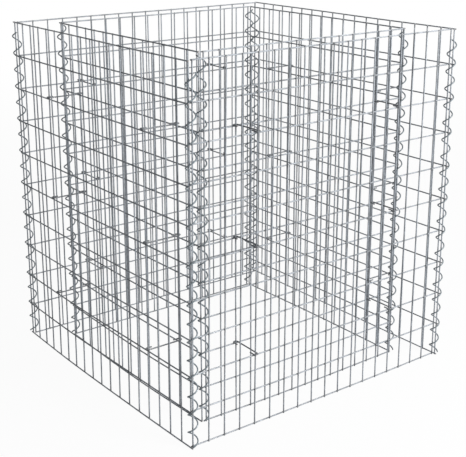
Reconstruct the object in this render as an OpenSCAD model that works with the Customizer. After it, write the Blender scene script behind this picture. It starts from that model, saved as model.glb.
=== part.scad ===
// Gabion raised bed: a square, double-skinned cage of galvanised welded mesh,
// open at the top and at the bottom. Stones go between the two skins and soil inside.
// Millimetres, +Z up. The origin is on the ground, at the centre of the square.
// Front faces -Y, right faces +X.

/* [Mesh] */
// Distance between neighbouring upright wires
column_pitch = 50; // [40:1:75]
// Distance between neighbouring level wires
row_pitch = 100; // [80:1:120]
// Number of mesh rows, one above the other
rows = 10; // [5:1:12]
// Upright wires in an outer panel
outer_columns = 19; // [17:2:25]
// Upright wires in an inner panel
inner_columns = 15; // [13:2:15]
// Diameter of the mesh wire
wire_d = 4; // [3.5:0.1:4.2]
// Depth by which a level wire is sunk into the uprights at each weld
weld_sink = 1; // [0.5:0.1:1.2]
// Distance that a level wire runs on past the middle of the last upright
stub = 3.5; // [2.5:0.1:3.5]
// Distance that a panel's plane stands off the corner uprights of the panels beside it
corner_gap = 6; // [6:0.1:7]

/* [Corner spirals] */
// Outside diameter of a spiral
spiral_d = 30; // [28:0.5:32]
// Diameter of the spiral's wire
spiral_wire_d = 4; // [3:0.1:4]
// Rise of a spiral in one turn
spiral_pitch = 50; // [50:50:50]
// Height of the lower end of a spiral's wire
spiral_bottom = 8; // [7:0.5:9]
// Turns in an outer spiral
outer_turns = 19.3; // [9:0.1:19.3]
// Turns in an inner spiral
inner_turns = 19.7; // [9:0.1:19.7]

/* [Spacer hooks] */
// Distance from the middle of a face to its spacers
spacer_offset = 250; // [200:50:300]
// Diameter of a spacer's wire
spacer_wire_d = 4; // [3:0.1:4]
// Clear height between a spacer and the level wires that it lies over
spacer_play = 0.3; // [0.3:0.1:0.6]
// Distance across a hook, between the middles of its two legs
hook_width = 12; // [10:0.5:14]
// Straight end of a hook, past its bend
hook_tail = 15; // [5:0.5:18]
// Mesh row that the low spacers lie on
low_row = 2; // [1:1:3]
// Mesh row that the middle spacers lie on
middle_row = 5; // [4:1:6]
// Mesh row that the high spacers lie on
high_row = 8; // [7:1:9]

/* [Hidden] */
bar_sides = 8;         // flat sides round a mesh wire
spiral_sides = 5;      // flat sides round a spiral's wire
rings_per_turn = 8;    // straight lengths in one turn of a spiral
upright_inset = 0.5;   // cut-back of each upright from the edge of the level wires
start_angle = -130;    // where a spiral's lower end lies, seen from above
mesh_grey = [0.50, 0.52, 0.55];
spiral_grey = [0.40, 0.43, 0.45];
spacer_grey = [0.46, 0.48, 0.50];

// Distance across the flats of a polygon bar that has the area, and so the weight, of a round wire
function across_flats(d, sides) = d * sqrt(PI / (sides * tan(180 / sides)));
// Distance from a bar's middle to its corners, where it measures flats across its flats
function corner_radius(flats, sides) = flats / 2 / cos(180 / sides);

bar_d = across_flats(wire_d, bar_sides);
mesh_height = rows * row_pitch + bar_d;
outer_span = (outer_columns - 1) * column_pitch;
inner_span = (inner_columns - 1) * column_pitch;
lap = bar_d - weld_sink;

// Distance from the middle of the bed to each panel's uprights, for the front, right, back and
// left sides. The front and back outer panels stand inside the corner uprights of the side
// panels, and every other panel stands outside those of its neighbours.
side_plane = outer_span / 2 + corner_gap;
end_plane = outer_span / 2 - corner_gap;
outer_planes = [end_plane, side_plane, end_plane, side_plane];
inner_plane = inner_span / 2 + corner_gap;

// Quarter turns from the front to each side, and from the front left corner to each corner
FRONT = 0;
RIGHT = 1;
BACK = 2;
LEFT = 3;
FRONT_LEFT = 0;
FRONT_RIGHT = 1;
BACK_RIGHT = 2;
BACK_LEFT = 3;
CORNER_SIGNS = [[-1, -1], [1, -1], [1, 1], [-1, 1]];
SIDE_NAMES = ["front", "right", "back", "left"];
LEVEL_NAMES = ["low", "middle", "high"];
LEVEL_ROWS = [low_row, middle_row, high_row];
FLANK_NAMES = ["a", "b"];
FLANK_PLACES = [-spacer_offset, spacer_offset];

function spacer_name(side, flank, level) =
    str("spacer_", SIDE_NAMES[side], "_", FLANK_NAMES[flank], "_", LEVEL_NAMES[level]);

// Height of the middle of a level wire
function row_z(row) = bar_d / 2 + row * row_pitch;

// A flat-sided wire along +Z that stands on a flat, seen from the side
module wire(length) {
    rotate([0, 0, 180 / bar_sides])
        cylinder(r = corner_radius(bar_d, bar_sides), h = length, $fn = bar_sides);
}

// One welded panel, with its uprights in the XZ plane. The level wires lie on the
// outer side (-Y) of the uprights, or on the inner side (+Y).
module mesh_panel(columns, rows_outside) {
    span = (columns - 1) * column_pitch;
    for (column = [0 : columns - 1])
        translate([column * column_pitch - span / 2, 0, upright_inset])
            wire(mesh_height - 2 * upright_inset);
    for (row = [0 : rows])
        translate([-span / 2 - stub, rows_outside ? -lap : lap, row_z(row)])
            rotate([0, 90, 0])
                wire(span + 2 * stub);
}

// The front and back panels stand with their level wires inwards, the side panels outwards.
module outer_panel(side) {
    color(mesh_grey)
        rotate([0, 0, 90 * side])
            translate([0, -outer_planes[side], 0])
                mesh_panel(outer_columns, side == LEFT || side == RIGHT);
}

module inner_panel(side) {
    color(mesh_grey)
        rotate([0, 0, 90 * side])
            translate([0, -inner_plane, 0])
                mesh_panel(inner_columns, side == LEFT || side == RIGHT);
}

// A right-handed coil round the Z axis, as one tube swept along the helix
module coil(turns) {
    radius = (spiral_d - spiral_wire_d) / 2;
    wire_r = corner_radius(across_flats(spiral_wire_d, spiral_sides), spiral_sides);
    rings = ceil(turns * rings_per_turn);
    slope = atan(spiral_pitch / (2 * PI * radius));
    function turn_angle(ring) = start_angle + 360 * turns * ring / rings;
    function ring_point(ring, side) =
        let (a = turn_angle(ring),
             b = 360 * side / spiral_sides,
             out = wire_r * cos(b),
             up = wire_r * sin(b))
        [(radius + out) * cos(a) - up * sin(slope) * sin(a),
         (radius + out) * sin(a) + up * sin(slope) * cos(a),
         spiral_bottom + spiral_pitch * turns * ring / rings - up * cos(slope)];
    points = [for (ring = [0 : rings], side = [0 : spiral_sides - 1]) ring_point(ring, side)];
    walls = [for (ring = [0 : rings - 1], side = [0 : spiral_sides - 1])
        let (next = (side + 1) % spiral_sides,
             low = ring * spiral_sides,
             high = low + spiral_sides)
        each [[low + side, low + next, high + next], [low + side, high + next, high + side]]];
    lower_cap = [[for (side = [spiral_sides - 1 : -1 : 0]) side]];
    upper_cap = [[for (side = [0 : spiral_sides - 1]) rings * spiral_sides + side]];
    polyhedron(points, concat(walls, lower_cap, upper_cap));
}

// A coil at a corner, round the middle between the two uprights that meet there
module corner_spiral(corner, x, y, turns) {
    out = CORNER_SIGNS[corner];
    color(spiral_grey)
        translate([out.x * x, out.y * y, 0])
            rotate([0, 0, 90 * corner])
                coil(turns);
}

module outer_spiral(corner) {
    corner_spiral(corner, (side_plane + outer_span / 2) / 2, (end_plane + outer_span / 2) / 2,
                  outer_turns);
}

module inner_spiral(corner) {
    middle = (inner_plane + inner_span / 2) / 2;
    corner_spiral(corner, middle, middle, inner_turns);
}

// Half a turn of wire round an upright at the origin, closed on the +Y side, with a tail
module hook_end() {
    rotate_extrude(angle = 180)
        translate([hook_width / 2, 0])
            circle(d = spacer_wire_d, $fn = 32);
    translate([-hook_width / 2, 0, 0])
        rotate([90, 0, 0])
            cylinder(d = spacer_wire_d, h = hook_tail, $fn = 32);
}

// A hooked wire from an outer upright to the inner one behind it, over a level wire of each
module spacer(side, flank, level) {
    reach = outer_planes[side] - inner_plane;
    height = row_z(LEVEL_ROWS[level]) + (bar_d + spacer_wire_d) / 2 + spacer_play;
    color(spacer_grey)
        rotate([0, 0, 90 * side])
            translate([FLANK_PLACES[flank], -outer_planes[side], height]) {
                translate([0, reach, 0])
                    hook_end();
                rotate([180, 0, 0])
                    hook_end();
                translate([hook_width / 2, reach, 0])
                    rotate([90, 0, 0])
                        cylinder(d = spacer_wire_d, h = reach, $fn = 32);
            }
}

outer_panel(FRONT);  // outer_panel_front
outer_panel(RIGHT);  // outer_panel_right
outer_panel(BACK);  // outer_panel_back
outer_panel(LEFT);  // outer_panel_left
inner_panel(FRONT);  // inner_panel_front
inner_panel(RIGHT);  // inner_panel_right
inner_panel(BACK);  // inner_panel_back
inner_panel(LEFT);  // inner_panel_left
outer_spiral(FRONT_LEFT);  // outer_spiral_front_left
outer_spiral(FRONT_RIGHT);  // outer_spiral_front_right
outer_spiral(BACK_RIGHT);  // outer_spiral_back_right
outer_spiral(BACK_LEFT);  // outer_spiral_back_left
inner_spiral(FRONT_LEFT);  // inner_spiral_front_left
inner_spiral(FRONT_RIGHT);  // inner_spiral_front_right
inner_spiral(BACK_RIGHT);  // inner_spiral_back_right
inner_spiral(BACK_LEFT);  // inner_spiral_back_left
for (side = [FRONT : LEFT], flank = [0 : 1], level = [0 : 2])
    spacer(side, flank, level);
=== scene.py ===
import math

import bpy
import numpy as np
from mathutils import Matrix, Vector


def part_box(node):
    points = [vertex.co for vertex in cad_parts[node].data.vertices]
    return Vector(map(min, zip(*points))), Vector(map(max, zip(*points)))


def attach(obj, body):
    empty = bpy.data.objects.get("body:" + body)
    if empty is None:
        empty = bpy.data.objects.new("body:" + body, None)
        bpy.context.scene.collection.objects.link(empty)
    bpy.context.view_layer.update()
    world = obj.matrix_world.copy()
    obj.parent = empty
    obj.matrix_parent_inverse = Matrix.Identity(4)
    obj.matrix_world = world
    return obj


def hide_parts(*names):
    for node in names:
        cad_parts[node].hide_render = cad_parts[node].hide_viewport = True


# A gabion raised bed: eight welded mesh panels in two skins, laced by spirals at the corners and
# tied together by hooked spacers. Lengths are in metres, +Z is up and the front faces -Y.

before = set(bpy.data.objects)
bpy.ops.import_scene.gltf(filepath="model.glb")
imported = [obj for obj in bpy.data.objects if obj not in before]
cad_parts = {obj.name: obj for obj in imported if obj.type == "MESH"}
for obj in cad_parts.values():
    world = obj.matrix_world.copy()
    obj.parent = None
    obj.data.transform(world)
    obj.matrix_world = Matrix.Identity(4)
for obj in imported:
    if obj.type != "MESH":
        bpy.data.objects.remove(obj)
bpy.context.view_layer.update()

# ---------------------------------------------------------------- camera and light

CAMERA_PLACE = Vector((-1.767, -2.340, 1.375))
CAMERA_TURN = math.radians(37.3)    # to the right of straight ahead along +Y
CAMERA_PITCH = math.radians(16.5)   # down from level
CAMERA_LENS_MM = 78.0
CAMERA_SENSOR_MM = 36.0
CAMERA_SHIFT_Y = -0.083             # as a share of the frame's width
CAMERA_REACH = 60.0                 # how far the camera sees

LAMP_AIM = Vector((0.0, 0.0, 0.5))  # the middle of the bed
WHITE = (1.0, 1.0, 1.0)
WARM_WHITE = (1.0, 0.985, 0.96)
COOL_WHITE = (0.93, 0.965, 1.0)


def make_camera():
    data = bpy.data.cameras.new("studio_camera")
    data.sensor_width = CAMERA_SENSOR_MM
    data.lens = CAMERA_LENS_MM
    data.shift_y = CAMERA_SHIFT_Y
    data.clip_end = CAMERA_REACH
    camera = bpy.data.objects.new("studio_camera", data)
    camera.location = CAMERA_PLACE
    camera.rotation_euler = (math.pi / 2 - CAMERA_PITCH, 0.0, -CAMERA_TURN)
    bpy.context.scene.collection.objects.link(camera)
    bpy.context.scene.camera = camera


def make_lamp(name, place, width, watts, colour):
    """A round soft lamp, turned to the middle of the bed."""
    data = bpy.data.lights.new(name, "AREA")
    data.shape = "DISK"
    data.size = width
    data.energy = watts
    data.color = colour
    lamp = bpy.data.objects.new(name, data)
    lamp.location = place
    lamp.rotation_euler = (LAMP_AIM - Vector(place)).to_track_quat("-Z", "Y").to_euler()
    bpy.context.scene.collection.objects.link(lamp)


def make_lamps():
    make_lamp("key_lamp", (1.2, -3.7, 2.1), width=1.8, watts=320.0, colour=WARM_WHITE)
    make_lamp("fill_lamp", (-3.4, -1.8, 2.0), width=2.4, watts=3.0, colour=COOL_WHITE)
    make_lamp("back_lamp", (3.3, 1.9, 3.2), width=2.0, watts=60.0, colour=WHITE)


make_camera()
make_lamps()

# ---------------------------------------------------------------- small helpers for nodes

MIX_SHARE, MIX_FIRST, MIX_SECOND, MIX_RESULT = 0, 6, 7, 2   # the colour sockets of a Mix node


def clear_tree(owner):
    owner.use_nodes = True
    owner.node_tree.nodes.clear()
    return owner.node_tree


def add_node(tree, kind, inputs=None, **settings):
    """A node with its settings and its input values. A value that is a socket is linked."""
    node = tree.nodes.new(kind)
    for name, value in settings.items():
        setattr(node, name, value)
    for name, value in (inputs or {}).items():
        socket = node.inputs[name]
        if isinstance(value, bpy.types.NodeSocket):
            tree.links.new(value, socket)
        else:
            socket.default_value = value
    return node


def math_node(tree, operation, first, second=None, clamp=False):
    inputs = {0: first} if second is None else {0: first, 1: second}
    return add_node(tree, "ShaderNodeMath", inputs, operation=operation, use_clamp=clamp).outputs[0]


def mix_colour(tree, share, first, second):
    node = add_node(tree, "ShaderNodeMix",
                    {MIX_SHARE: share, MIX_FIRST: first, MIX_SECOND: second},
                    data_type="RGBA", clamp_result=True)
    return node.outputs[MIX_RESULT]


def own_place(tree):
    """The place on the piece, in metres."""
    return tree.nodes.new("ShaderNodeTexCoord").outputs["Object"]


def new_group(name, inputs, outputs):
    """An empty shader group. inputs and outputs map each socket's name to its kind."""
    tree = bpy.data.node_groups.new(name, "ShaderNodeTree")
    for way, sockets in (("INPUT", inputs), ("OUTPUT", outputs)):
        for label, kind in sockets.items():
            tree.interface.new_socket(label, in_out=way, socket_type="NodeSocket" + kind)
    return tree, tree.nodes.new("NodeGroupInput"), tree.nodes.new("NodeGroupOutput")


def place_group(tree, group, inputs):
    return add_node(tree, "ShaderNodeGroup", inputs, node_tree=group)


# ---------------------------------------------------------------- world and floor

SKY_STRENGTH = 0.16
FLOOR_COLOUR = (0.60, 0.61, 0.62, 1.0)
FLOOR_GLOW_SHARE = 0.95     # part of the floor's brightness that shadow doesn't take away
FLOOR_NEAR = 1.6            # distance from the bed where the floor starts to fade to white
FLOOR_FAR = 6.0             # distance where it is all white
FLOOR_HALF = 14.0           # half of the floor's width


def background_rays(tree):
    """1 for the rays that should see the plain white background, and 0 for the rest."""
    path = tree.nodes.new("ShaderNodeLightPath")
    seen = math_node(tree, "ADD", path.outputs["Is Camera Ray"], path.outputs["Is Glossy Ray"])
    return math_node(tree, "ADD", seen, path.outputs["Is Transmission Ray"], clamp=True)


def make_world():
    world = bpy.data.worlds.new("white_studio")
    bpy.context.scene.world = world
    tree = clear_tree(world)
    light = add_node(tree, "ShaderNodeBackground",
                     {"Color": (*COOL_WHITE, 1), "Strength": SKY_STRENGTH})
    white = add_node(tree, "ShaderNodeBackground", {"Color": (*WHITE, 1), "Strength": 1.0})
    mix = add_node(tree, "ShaderNodeMixShader",
                   {0: background_rays(tree), 1: light.outputs[0], 2: white.outputs[0]})
    add_node(tree, "ShaderNodeOutputWorld", {"Surface": mix.outputs[0]})


def make_floor_material():
    material = bpy.data.materials.new("pale_floor")
    tree = clear_tree(material)
    plain = add_node(tree, "ShaderNodeBsdfDiffuse", {"Color": FLOOR_COLOUR})
    glow = add_node(tree, "ShaderNodeEmission", {"Color": (*WHITE, 1), "Strength": 1.0})
    distance = add_node(tree, "ShaderNodeVectorMath", {0: own_place(tree)}, operation="LENGTH")
    far = add_node(tree, "ShaderNodeMapRange",
                   {"Value": distance.outputs["Value"], "From Min": FLOOR_NEAR,
                    "From Max": FLOOR_FAR, "To Min": FLOOR_GLOW_SHARE, "To Max": 1.0},
                   interpolation_type="SMOOTHSTEP")
    share = math_node(tree, "MULTIPLY", far.outputs["Result"], background_rays(tree))
    mix = add_node(tree, "ShaderNodeMixShader",
                   {0: share, 1: plain.outputs[0], 2: glow.outputs[0]})
    add_node(tree, "ShaderNodeOutputMaterial", {"Surface": mix.outputs[0]})
    return material


def make_floor():
    mesh = bpy.data.meshes.new("studio_floor")
    half = FLOOR_HALF
    corners = [(-half, -half, 0), (half, -half, 0), (half, half, 0), (-half, half, 0)]
    mesh.from_pydata(corners, [], [(0, 1, 2, 3)])
    mesh.materials.append(make_floor_material())
    floor = bpy.data.objects.new("studio_floor", mesh)
    bpy.context.scene.collection.objects.link(floor)


make_world()
make_floor()

# ---------------------------------------------------------------- finishes

MIDDLE_TONE = 0.5               # a random tone runs from 0 to 1
WIRE_TONE_SPREAD = 0.34         # brightness between the darkest wire and the brightest
DULL_FROM, DULL_TO = 0.40, 0.66         # noise where zinc starts to dull, and where it is all dull
STREAK_FROM, STREAK_TO = 0.3, 0.7       # noise of the darkest drawing line, and of the brightest
STREAK_DARK, STREAK_BRIGHT = 0.86, 1.10     # what those two do to the colour
TINT_GRAIN = 900.0              # grains of a weld's tint in a metre
TINT_COVER = 0.35               # added to the grain, so that the tint nearly closes at the weld
TINT_ROUGHNESS = 0.15           # added to the roughness where the tint is full
CRYSTAL_HEIGHT = 0.5            # height of the crystals, as a share of the drawing lines'
ZINC_BUMP, ZINC_RELIEF = 0.35, 0.0002       # strength and depth of the skin's relief
ZINC_SPECULAR = 0.30
SHEAR_GRAIN = 1600.0            # grains of a cut end in a metre
RUST_FROM, RUST_TO = 0.42, 0.62     # noise where rust starts on a cut end, and where it is full
BARE_STEEL = (0.20, 0.20, 0.21, 1)
THIN_RUST = (0.13, 0.085, 0.06, 1)
CUT_BUMP, CUT_RELIEF = 0.4, 0.0003  # strength and depth of a cut end's relief


def make_zinc_group():
    """Galvanised skin: crystal spangle, dull weathered patches and a tone of its own for each wire."""
    tree, given, out = new_group(
        "ZincSkin",
        {"Bright Zinc": "Color", "Dull Zinc": "Color", "Spangle Size": "Float",
         "Patch Size": "Float", "Spangle Strength": "Float"},
        {"Color": "Color", "Dullness": "Float", "Height": "Float"})
    place = own_place(tree)
    crystal_scale = math_node(tree, "DIVIDE", 1.0, given.outputs["Spangle Size"])
    patch_scale = math_node(tree, "DIVIDE", 1.0, given.outputs["Patch Size"])
    crystals = add_node(tree, "ShaderNodeTexVoronoi", {"Vector": place, "Scale": crystal_scale})
    crystal_tone = add_node(tree, "ShaderNodeSeparateColor", {"Color": crystals.outputs["Color"]})
    patches = add_node(tree, "ShaderNodeTexNoise",
                       {"Vector": place, "Scale": patch_scale, "Detail": 5.0, "Roughness": 0.62})
    dull = add_node(tree, "ShaderNodeMapRange",
                    {"Value": patches.outputs["Fac"], "From Min": DULL_FROM, "From Max": DULL_TO},
                    interpolation_type="SMOOTHSTEP")
    tone = add_node(tree, "ShaderNodeAttribute", attribute_name="wire_tone")
    base = mix_colour(tree, dull.outputs["Result"], given.outputs["Bright Zinc"],
                      given.outputs["Dull Zinc"])
    speckle = math_node(tree, "SUBTRACT", crystal_tone.outputs["Red"], MIDDLE_TONE)
    speckle = math_node(tree, "MULTIPLY", speckle, given.outputs["Spangle Strength"])
    wire = math_node(tree, "SUBTRACT", tone.outputs["Fac"], MIDDLE_TONE)
    wire = math_node(tree, "MULTIPLY", wire, WIRE_TONE_SPREAD)
    lift = math_node(tree, "ADD", math_node(tree, "ADD", speckle, wire), 1.0)
    lifted = add_node(tree, "ShaderNodeVectorMath", {0: base, 1: lift}, operation="MULTIPLY")
    tree.links.new(lifted.outputs[0], out.inputs["Color"])
    tree.links.new(dull.outputs["Result"], out.inputs["Dullness"])
    tree.links.new(crystals.outputs["Distance"], out.inputs["Height"])
    return tree


def make_drawn_group():
    """Fine lines along the wire, left by the drawing die, from the run of each wire."""
    tree, given, out = new_group(
        "DrawnLines", {"Lines Round": "Float", "Lines Along": "Float"}, {"Mask": "Float"})
    run = add_node(tree, "ShaderNodeUVMap", uv_map="wire_run")
    parts = add_node(tree, "ShaderNodeSeparateXYZ", {"Vector": run.outputs["UV"]})
    along = math_node(tree, "MULTIPLY", parts.outputs["X"], given.outputs["Lines Along"])
    turn = math_node(tree, "MULTIPLY", parts.outputs["Y"], math.tau)
    radius = math_node(tree, "DIVIDE", given.outputs["Lines Round"], math.tau)
    across = math_node(tree, "MULTIPLY", math_node(tree, "COSINE", turn), radius)
    up = math_node(tree, "MULTIPLY", math_node(tree, "SINE", turn), radius)
    vector = add_node(tree, "ShaderNodeCombineXYZ", {"X": along, "Y": across, "Z": up})
    lines = add_node(tree, "ShaderNodeTexNoise",
                     {"Vector": vector.outputs[0], "Scale": 1.0, "Detail": 3.0, "Roughness": 0.6})
    tree.links.new(lines.outputs["Fac"], out.inputs["Mask"])
    return tree


def make_weld_group():
    """Heat tint and a film of grey zinc oxide round each weld."""
    tree, given, out = new_group(
        "WeldTint", {"Color": "Color", "Tint": "Color", "Amount": "Float"},
        {"Color": "Color", "Mask": "Float"})
    heat = add_node(tree, "ShaderNodeAttribute", attribute_name="weld")
    ragged = add_node(tree, "ShaderNodeTexNoise",
                      {"Vector": own_place(tree), "Scale": TINT_GRAIN, "Detail": 3.0,
                       "Roughness": 0.7})
    broken = math_node(tree, "ADD", ragged.outputs["Fac"], TINT_COVER)
    mask = math_node(tree, "MULTIPLY", heat.outputs["Fac"], broken, clamp=True)
    share = math_node(tree, "MULTIPLY", mask, given.outputs["Amount"], clamp=True)
    tinted = mix_colour(tree, share, given.outputs["Color"], given.outputs["Tint"])
    tree.links.new(tinted, out.inputs["Color"])
    tree.links.new(mask, out.inputs["Mask"])
    return tree


ZINC_SKIN = make_zinc_group()
DRAWN_LINES = make_drawn_group()
WELD_TINT = make_weld_group()


def make_wire_finish(name, skin, lines, weld, metal, smooth, rough):
    """A galvanised wire finish: the values of its three groups, and those of its shader.

    smooth and rough are its roughness on bright and on dull zinc.
    """
    material = bpy.data.materials.new(name)
    tree = clear_tree(material)
    skin = place_group(tree, ZINC_SKIN, skin)
    lines = place_group(tree, DRAWN_LINES, lines)
    weld = place_group(tree, WELD_TINT, {"Color": skin.outputs["Color"], **weld})
    streak = add_node(tree, "ShaderNodeMapRange",
                      {"Value": lines.outputs["Mask"], "From Min": STREAK_FROM,
                       "From Max": STREAK_TO, "To Min": STREAK_DARK, "To Max": STREAK_BRIGHT})
    colour = add_node(tree, "ShaderNodeVectorMath",
                      {0: weld.outputs["Color"], 1: streak.outputs["Result"]},
                      operation="MULTIPLY")
    roughness = add_node(tree, "ShaderNodeMapRange",
                         {"Value": skin.outputs["Dullness"], "To Min": smooth, "To Max": rough})
    tint_roughness = math_node(tree, "MULTIPLY", weld.outputs["Mask"], TINT_ROUGHNESS)
    roughness = math_node(tree, "ADD", roughness.outputs["Result"], tint_roughness, clamp=True)
    crystals = math_node(tree, "MULTIPLY", skin.outputs["Height"], CRYSTAL_HEIGHT)
    height = math_node(tree, "ADD", lines.outputs["Mask"], crystals)
    bump = add_node(tree, "ShaderNodeBump",
                    {"Height": height, "Strength": ZINC_BUMP, "Distance": ZINC_RELIEF})
    surface = add_node(tree, "ShaderNodeBsdfPrincipled", {
        "Base Color": colour.outputs[0], "Metallic": metal, "Roughness": roughness,
        "Specular IOR Level": ZINC_SPECULAR, "Normal": bump.outputs["Normal"]})
    add_node(tree, "ShaderNodeOutputMaterial", {"Surface": surface.outputs[0]})
    return material


def make_cut_steel():
    """The bare end of a cut wire: sheared steel with the first film of rust."""
    material = bpy.data.materials.new("cut_steel")
    tree = clear_tree(material)
    shear = add_node(tree, "ShaderNodeTexNoise",
                     {"Vector": own_place(tree), "Scale": SHEAR_GRAIN, "Detail": 4.0,
                      "Roughness": 0.6})
    rust = add_node(tree, "ShaderNodeMapRange",
                    {"Value": shear.outputs["Fac"], "From Min": RUST_FROM, "From Max": RUST_TO})
    colour = mix_colour(tree, rust.outputs["Result"], BARE_STEEL, THIN_RUST)
    bump = add_node(tree, "ShaderNodeBump",
                    {"Height": shear.outputs["Fac"], "Strength": CUT_BUMP,
                     "Distance": CUT_RELIEF})
    surface = add_node(tree, "ShaderNodeBsdfPrincipled", {
        "Base Color": colour, "Metallic": 0.6, "Roughness": 0.55,
        "Normal": bump.outputs["Normal"]})
    add_node(tree, "ShaderNodeOutputMaterial", {"Surface": surface.outputs[0]})
    return material


MESH_FINISH = make_wire_finish(
    "galvanised_mesh",
    skin={"Bright Zinc": (0.246, 0.267, 0.296, 1), "Dull Zinc": (0.188, 0.207, 0.233, 1),
          "Spangle Size": 0.004, "Patch Size": 0.06, "Spangle Strength": 0.30},
    lines={"Lines Round": 26.0, "Lines Along": 18.0},
    weld={"Tint": (0.085, 0.083, 0.080, 1), "Amount": 0.55},
    metal=0.12, smooth=0.34, rough=0.58)
SPIRAL_FINISH = make_wire_finish(
    "galvanised_spiral",
    skin={"Bright Zinc": (0.152, 0.179, 0.200, 1), "Dull Zinc": (0.108, 0.129, 0.145, 1),
          "Spangle Size": 0.004, "Patch Size": 0.06, "Spangle Strength": 0.26},
    lines={"Lines Round": 26.0, "Lines Along": 18.0},
    weld={"Tint": (0.060, 0.060, 0.060, 1), "Amount": 0.5},
    metal=0.16, smooth=0.30, rough=0.50)
SPACER_FINISH = make_wire_finish(
    "galvanised_spacer",
    skin={"Bright Zinc": (0.138, 0.148, 0.162, 1), "Dull Zinc": (0.100, 0.108, 0.120, 1),
          "Spangle Size": 0.004, "Patch Size": 0.06, "Spangle Strength": 0.30},
    lines={"Lines Round": 26.0, "Lines Along": 18.0},
    weld={"Tint": (0.060, 0.058, 0.056, 1), "Amount": 0.5},
    metal=0.16, smooth=0.34, rough=0.54)
CUT_STEEL = make_cut_steel()

# ---------------------------------------------------------------- wires as swept tubes

WIRE_SIDES = 10
CHAMFER = 0.82          # a cut end's flat, as a share of the wire's radius
CHAMFER_LENGTH = 0.0004
WIRE_SLOT, CUT_SLOT = 0, 1      # a piece's two materials


def unit(vector):
    return vector / np.linalg.norm(vector)


def with_chamfers(path, radius, weld):
    """The path with one more ring just inside each end, and the radius at every ring."""
    start = unit(path[1] - path[0]) * CHAMFER_LENGTH
    end = unit(path[-2] - path[-1]) * CHAMFER_LENGTH
    path = np.concatenate([path[:1], [path[0] + start], path[1:-1], [path[-1] + end], path[-1:]])
    weld = np.concatenate([weld[:1], weld[:1], weld[1:-1], weld[-1:], weld[-1:]])
    radii = np.full(len(path), radius)
    radii[0] = radii[-1] = radius * CHAMFER
    return path, radii, weld


def ring_points(path, radii, sides):
    """The ring of points round each place on the path, and the distance run to it."""
    steps = np.diff(path, axis=0)
    run = np.concatenate([[0.0], np.cumsum(np.linalg.norm(steps, axis=1))])
    directions = steps / np.linalg.norm(steps, axis=1)[:, None]
    tangents = np.concatenate([directions[:1], directions[:-1] + directions[1:], directions[-1:]])
    tangents /= np.linalg.norm(tangents, axis=1)[:, None]
    seed = np.eye(3)[np.argmin(np.abs(tangents[0]))]
    normal = unit(np.cross(tangents[0], seed))
    angles = np.arange(sides) * math.tau / sides
    rings = np.empty((len(path), sides, 3))
    for index, tangent in enumerate(tangents):
        normal = unit(normal - tangent * np.dot(normal, tangent))
        side = np.cross(tangent, normal)
        circle = np.outer(np.cos(angles), normal) + np.outer(np.sin(angles), side)
        rings[index] = path[index] + radii[index] * circle
    return rings, run


class WireBundle:
    """Collects swept wires and small lumps, and turns them into one mesh."""

    def __init__(self):
        self.points, self.faces, self.runs, self.slots = [], [], [], []
        self.weld, self.tone = [], []
        self.count = 0

    def add(self, points, weld, tone):
        first = self.count
        self.points.append(points)
        self.weld.append(weld)
        self.tone.append(np.full(len(points), tone))
        self.count += len(points)
        return first

    def face(self, corners, run, slot):
        self.faces.append(corners)
        self.runs.extend(run)
        self.slots.append(slot)

    def wire(self, path, radius, weld, tone, sides=WIRE_SIDES):
        """A round wire along path, with a small chamfer and a bare face at each end."""
        path, radii, weld = with_chamfers(np.asarray(path, float), radius, np.asarray(weld, float))
        rings, run = ring_points(path, radii, sides)
        first = self.add(rings.reshape(-1, 3), np.repeat(weld, sides), tone)
        for ring in range(len(path) - 1):
            low, high = first + ring * sides, first + (ring + 1) * sides
            for side in range(sides):
                nxt = (side + 1) % sides
                self.face(
                    (low + side, low + nxt, high + nxt, high + side),
                    ((run[ring], side / sides), (run[ring], (side + 1) / sides),
                     (run[ring + 1], (side + 1) / sides), (run[ring + 1], side / sides)),
                    WIRE_SLOT)
        last = first + (len(path) - 1) * sides
        flat = [(0.0, side / sides) for side in range(sides)]
        self.face(tuple(first + side for side in reversed(range(sides))), flat, CUT_SLOT)
        self.face(tuple(last + side for side in range(sides)), flat, CUT_SLOT)

    def lump(self, points, faces, weld, tone):
        first = self.add(points, np.full(len(points), weld), tone)
        for face in faces:
            self.face(tuple(first + corner for corner in face), [(0.0, 0.0)] * len(face), WIRE_SLOT)

    def build(self, name, finish):
        mesh = bpy.data.meshes.new(name)
        mesh.from_pydata(np.concatenate(self.points).tolist(), [], self.faces)
        mesh.materials.append(finish)
        mesh.materials.append(CUT_STEEL)
        slots = np.array(self.slots, np.int32)
        mesh.polygons.foreach_set("material_index", slots)
        mesh.polygons.foreach_set("use_smooth", slots == WIRE_SLOT)
        layer = mesh.uv_layers.new(name="wire_run")
        layer.data.foreach_set("uv", np.array(self.runs, np.float32).ravel())
        for label, values in (("weld", self.weld), ("wire_tone", self.tone)):
            attribute = mesh.attributes.new(label, "FLOAT", "POINT")
            attribute.data.foreach_set("value", np.concatenate(values).astype(np.float32))
        mesh.update()
        piece = bpy.data.objects.new(name, mesh)
        bpy.context.scene.collection.objects.link(piece)
        return piece


# ---------------------------------------------------------------- the mesh panels

COLUMN_PITCH = 0.050
ROW_PITCH = 0.100
COLUMNS = {"outer": 19, "inner": 15}    # uprights in a panel
ROWS = 10
WIRE_R = 0.00194
WELD_SINK = 0.001           # how far two wires are pressed into each other
STUB = 0.0035               # how far a level wire runs on past the last upright
CORNER_GAP = 0.006          # from a panel's plane to the row of the next panel's uprights
UPRIGHT_STEPS = 40          # straight lengths in an upright
UPRIGHT_INSET = 0.0006      # how far an upright's ends lie inside the panel's height
LEVEL_STEP = 0.025          # length of each straight length in a level wire
PANEL_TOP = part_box("outer_panel_front")[1].z
LOWEST_LEVEL = 0.00195      # height of the lowest level wire's middle
SIDE_TURNS = {"front": 0, "right": 1, "back": 2, "left": 3}     # quarter turns from the front

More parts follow.
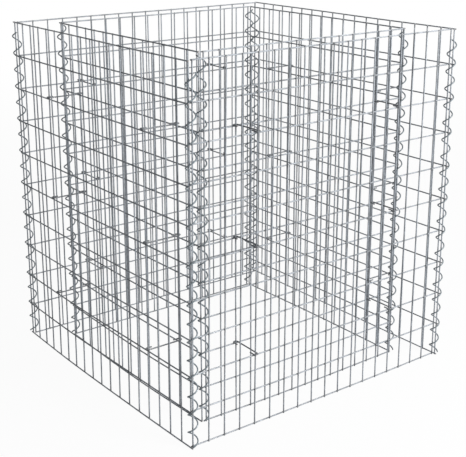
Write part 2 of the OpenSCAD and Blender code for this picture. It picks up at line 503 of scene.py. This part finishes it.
WELD_REACH = 0.0055         # how far a weld's heat tint spreads along the wire
NUGGET_R = 0.0027
NUGGET_THICK = 0.0014
NUGGET_SIZES = (0.9, 1.1)   # the smallest nugget and the largest, as shares of NUGGET_R
NUGGET_TONE = 0.4
NUGGET_SIDES = 8
NUGGET_RINGS = (-0.6, 0.0, 0.6)     # heights of its rings, as shares of its thickness
EDGE_NUGGET = 0.9           # half height of a nugget on an edge wire, as a share of WIRE_R
SMALL_STEP = 0.001          # step along the panel, or out of it, that shows which way that is

RACKING = {("outer", "front"): (0.011, 0.0), ("inner", "front"): (0.0, 0.003)}  # lean and drift
LEAN_FOOT = 0.18            # share of the height below which a racked panel leans back
FOOT_BULGE = {"front": 0.006, "right": 0.001, "back": 0.002, "left": 0.005}
PANEL_BOW = 0.0022          # the most that a panel bows out of its plane
PANEL_TWIST = 0.0012        # the most that it twists out of it
UPRIGHT_ERROR = 0.0005      # the most that a wire is welded off its place
LEVEL_ERROR = 0.0006
UPRIGHT_SWAY = 0.0004       # the most that an upright strays from a straight line
UPRIGHT_WAVES = 1.3         # waves of that sway in an upright
LEVEL_SWAY = 0.00035        # half of the most that a level wire sways, always towards the middle
LEVEL_WAVE = 0.6            # length of one wave of sway in a level wire
HAND_BUILT_SEED = 20
chance = np.random.default_rng(HAND_BUILT_SEED)


def either_way(most, count=None):
    return chance.uniform(-most, most, count)


def any_phase(count):
    return chance.uniform(0, math.tau, count)


class Panel:
    """One welded panel with the small bends of a hand-built cage.

    A place on it is given by its distance along the panel from the middle, seen from
    outside, its height, and its distance outwards from the plane of the uprights.
    """

    def __init__(self, skin, side):
        self.name = f"{skin}_panel_{side}"
        self.side = side
        self.columns = COLUMNS[skin]
        self.half = (self.columns - 1) * COLUMN_PITCH / 2
        self.levels_outside = side in ("left", "right")
        ends_inside = skin == "outer" and not self.levels_outside
        self.plane = self.half + (-CORNER_GAP if ends_inside else CORNER_GAP)
        self.bulge = FOOT_BULGE[side]
        self.lean, self.drift = RACKING.get((skin, side), (0.0, 0.0))
        self.bow = either_way(PANEL_BOW)
        self.twist = either_way(PANEL_TWIST)
        self.column_error = either_way(UPRIGHT_ERROR, self.columns)
        self.level_error = either_way(LEVEL_ERROR, ROWS + 1)
        self.level_error[[0, -1]] = 0.0
        self.column_phase = any_phase(self.columns)
        self.level_phase = any_phase(ROWS + 1)
        self.column_tone = chance.uniform(0, 1, self.columns)
        self.level_tone = chance.uniform(0, 1, ROWS + 1)

    def outward(self, along, height):
        """How far the whole panel stands off its flat plane. Its laced edges stay in place."""
        across = math.cos(math.pi * along / self.half / 2)
        wave = math.sin(math.tau * along / self.half / 2) * math.cos(math.pi * height / PANEL_TOP)
        foot = (1 - height / PANEL_TOP) ** 2
        return (self.bow + self.bulge * foot) * across + self.twist * wave

    def shift(self, along, height):
        """How far the panel is racked along itself: most at its top and its first upright."""
        slack = 0.5 - along / (2 * self.half)
        return self.drift + self.lean * (height / PANEL_TOP - LEAN_FOOT) * slack

    def column_along(self, column, height):
        nominal = column * COLUMN_PITCH - self.half
        turned = math.tau * UPRIGHT_WAVES * height / PANEL_TOP + self.column_phase[column]
        sway = UPRIGHT_SWAY * math.sin(turned)
        return nominal + self.column_error[column] + self.shift(nominal, height) + sway

    def level_height(self, level, along):
        turned = math.tau * along / LEVEL_WAVE + self.level_phase[level]
        sway = LEVEL_SWAY * (1 + math.sin(turned))
        rise = -sway if level == ROWS else sway
        return LOWEST_LEVEL + level * ROW_PITCH + self.level_error[level] + rise

    def point(self, along, height, out):
        """The place in the bed's own frame."""
        turn = SIDE_TURNS[self.side] * math.pi / 2
        away = -(self.plane + out + self.outward(along, height))
        cosine, sine = round(math.cos(turn)), round(math.sin(turn))
        return np.array((along * cosine - away * sine, along * sine + away * cosine, height))

    def level_point(self, level, along, out):
        height = self.level_height(level, along)
        return self.point(along + self.shift(along, height), height, out)

    def upright(self, column, height):
        return self.point(self.column_along(column, height), height, 0.0)


def weld_heat(distances):
    return np.exp(-(np.min(np.abs(distances), axis=1) / WELD_REACH) ** 2)


def nugget_shape():
    """The lump of a weld: a flat ball, in units of its radius and thickness."""
    sides = NUGGET_SIDES
    turns = np.arange(sides) * math.tau / sides
    points = [(0.0, 0.0, -1.0)]
    for height in NUGGET_RINGS:
        reach = math.sqrt(1 - height * height)
        points += [(reach * math.cos(turn), reach * math.sin(turn), height) for turn in turns]
    points.append((0.0, 0.0, 1.0))
    rings = [1 + ring * sides for ring in range(len(NUGGET_RINGS))]     # first point of each
    faces = []
    for side in range(sides):
        nxt = (side + 1) % sides
        faces.append((0, rings[0] + nxt, rings[0] + side))
        for low, high in zip(rings, rings[1:]):
            faces.append((low + side, low + nxt, high + nxt, high + side))
        faces.append((rings[-1] + side, rings[-1] + nxt, len(points) - 1))
    return np.array(points), faces


NUGGET_POINTS, NUGGET_FACES = nugget_shape()


def build_panel(panel):
    bundle = WireBundle()
    lap = (2 * WIRE_R - WELD_SINK) * (1 if panel.levels_outside else -1)
    level_heights = LOWEST_LEVEL + np.arange(ROWS + 1) * ROW_PITCH
    heights = np.linspace(UPRIGHT_INSET, PANEL_TOP - UPRIGHT_INSET, UPRIGHT_STEPS + 1)
    heat = weld_heat(heights[:, None] - level_heights[None, :])
    for column in range(panel.columns):
        path = [panel.upright(column, height) for height in heights]
        bundle.wire(path, WIRE_R, heat, panel.column_tone[column])
    reach = panel.half + STUB
    steps = round(2 * reach / LEVEL_STEP)
    alongs = np.linspace(-reach, reach, steps + 1)
    columns_along = np.arange(panel.columns) * COLUMN_PITCH - panel.half
    heat = weld_heat(alongs[:, None] - columns_along[None, :])
    for level in range(ROWS + 1):
        path = [panel.level_point(level, along, lap) for along in alongs]
        bundle.wire(path, WIRE_R, heat, panel.level_tone[level])
        for column in range(panel.columns):
            height = panel.level_height(level, columns_along[column])
            add_nugget(bundle, panel, column, height, lap / 2)
    piece = bundle.build(panel.name + "_mesh", MESH_FINISH)
    finish_piece(piece, panel.name)


def add_nugget(bundle, panel, column, height, out):
    along = panel.column_along(column, height)
    middle = panel.point(along, height, out)
    sideways = unit(panel.point(along + SMALL_STEP, height, out) - middle)
    outwards = unit(panel.point(along, height, out + SMALL_STEP) - middle)
    size = NUGGET_R * chance.uniform(*NUGGET_SIZES)
    off_edges = LOWEST_LEVEL + size < height < PANEL_TOP - LOWEST_LEVEL - size
    upwards = size if off_edges else WIRE_R * EDGE_NUGGET
    axes = np.array((sideways * size, (0.0, 0.0, upwards), outwards * NUGGET_THICK))
    bundle.lump(middle + NUGGET_POINTS @ axes, NUGGET_FACES, weld=1.0, tone=NUGGET_TONE)


def finish_piece(piece, node):
    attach(piece, "root")
    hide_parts(node)


SKINS = ("outer", "inner")
panels = {}
for side in SIDE_TURNS:
    for skin in SKINS:
        panels[skin, side] = Panel(skin, side)
for panel in panels.values():
    build_panel(panel)

# ---------------------------------------------------------------- the corner spirals

CORNERS = ("front_left", "front_right", "back_right", "back_left")   # a quarter turn apart
SPIRAL_R = 0.0126           # from the coil's axis to the middle of its wire
SPIRAL_WIRE_R = 0.0019
SPIRAL_PITCH = 0.050
SPIRAL_START = math.radians(-130)   # where the front left coils start, seen from above
SPIRAL_END = 0.002          # from the end of a coil's height to the middle of its wire
SPIRAL_RINGS = 28           # straight lengths in one turn
SPIRAL_SIDES = 8
COIL_SLACK = 0.00035        # the most that a coil's radius strays
COIL_SLACK_TURNS = 5.3      # turns from one loose place to the next
COIL_STRETCH = 0.0012       # the most that a turn lies too high or too low
COIL_STRETCH_TURNS = 6.7    # turns from one stretched place to the next


def corner_pull(skin, corner, height):
    """How far the panels laced here draw the coil along. Only the front panels are racked."""
    if not corner.startswith("front"):
        return 0.0
    panel = panels[skin, "front"]
    end = -panel.half if corner.endswith("left") else panel.half
    return panel.shift(end, height) / 2


def build_spiral(skin, corner):
    node = f"{skin}_spiral_{corner}"
    low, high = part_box(node)
    axis = (low + high) / 2
    quarter = CORNERS.index(corner) * math.pi / 2
    bottom = low.z + SPIRAL_END
    top = high.z - SPIRAL_END
    turns = (top - bottom) / SPIRAL_PITCH
    count = int(turns * SPIRAL_RINGS)
    slack_phase, stretch_phase, _ = any_phase(3)    # the third keeps the later draws in step
    path = []
    for step in range(count + 1):
        turned = turns * step / count
        angle = SPIRAL_START + quarter + math.tau * turned
        slack = math.sin(math.tau * turned / COIL_SLACK_TURNS + slack_phase)
        radius = SPIRAL_R + COIL_SLACK * slack
        stretch = math.sin(math.tau * turned / COIL_STRETCH_TURNS + stretch_phase)
        height = bottom + SPIRAL_PITCH * turned
        height += COIL_STRETCH * stretch * math.sin(math.pi * step / count)
        middle = axis.x + corner_pull(skin, corner, height)
        path.append((middle + radius * math.cos(angle), axis.y + radius * math.sin(angle), height))
    bundle = WireBundle()
    tone = chance.uniform(0, 1)
    bundle.wire(path, SPIRAL_WIRE_R, np.zeros(len(path)), tone, SPIRAL_SIDES)
    piece = bundle.build(node + "_coil", SPIRAL_FINISH)
    finish_piece(piece, node)


for skin in SKINS:
    for corner in CORNERS:
        build_spiral(skin, corner)

# ---------------------------------------------------------------- the spacer hooks

HOOK_R = 0.006              # from the middle of a bend to the middle of its wire
HOOK_TAIL = 0.015           # length of the straight tip after the bend
HOOK_STEPS = 14             # straight lengths in a bend
SPACER_WIRE_R = 0.00195
SPACER_ALONG = {"a": -0.250, "b": 0.250}    # places of a side's two columns of spacers
LEVEL_ONLY = (1, 1, 0)      # takes the rise out of a direction


def build_spacer(side, flank, level):
    node = f"spacer_{side}_{flank}_{level}"
    low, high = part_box(node)
    height = (low.z + high.z) / 2
    ends = []
    for skin in SKINS:
        panel = panels[skin, side]
        column = round((SPACER_ALONG[flank] + panel.half) / COLUMN_PITCH)
        ends.append(panel.upright(column, height))
    start, end = ends
    outwards = unit((start - end) * LEVEL_ONLY)
    sideways = np.array((-outwards[1], outwards[0], 0.0))
    path = hook_path(start, outwards, sideways)
    path += reversed(hook_path(end, -outwards, sideways))
    bundle = WireBundle()
    tone = chance.uniform(0, 1)
    bundle.wire(path, SPACER_WIRE_R, np.zeros(len(path)), tone)
    piece = bundle.build(node + "_hook", SPACER_FINISH)
    finish_piece(piece, node)


def hook_path(middle, outwards, sideways):
    """From the tip of a hook's tail, round an upright, to the start of its straight shank."""
    left = middle - sideways * HOOK_R
    points = [left - outwards * HOOK_TAIL, left - outwards * HOOK_TAIL / 2]
    for step in range(HOOK_STEPS + 1):
        turn = math.pi * step / HOOK_STEPS
        points.append(middle + HOOK_R * (-sideways * math.cos(turn) + outwards * math.sin(turn)))
    return points


for side in SIDE_TURNS:
    for flank in SPACER_ALONG:
        for level in ("low", "middle", "high"):
            build_spacer(side, flank, level)

# ---------------------------------------------------------------- render settings

bpy.context.scene.view_settings.view_transform = "Standard"
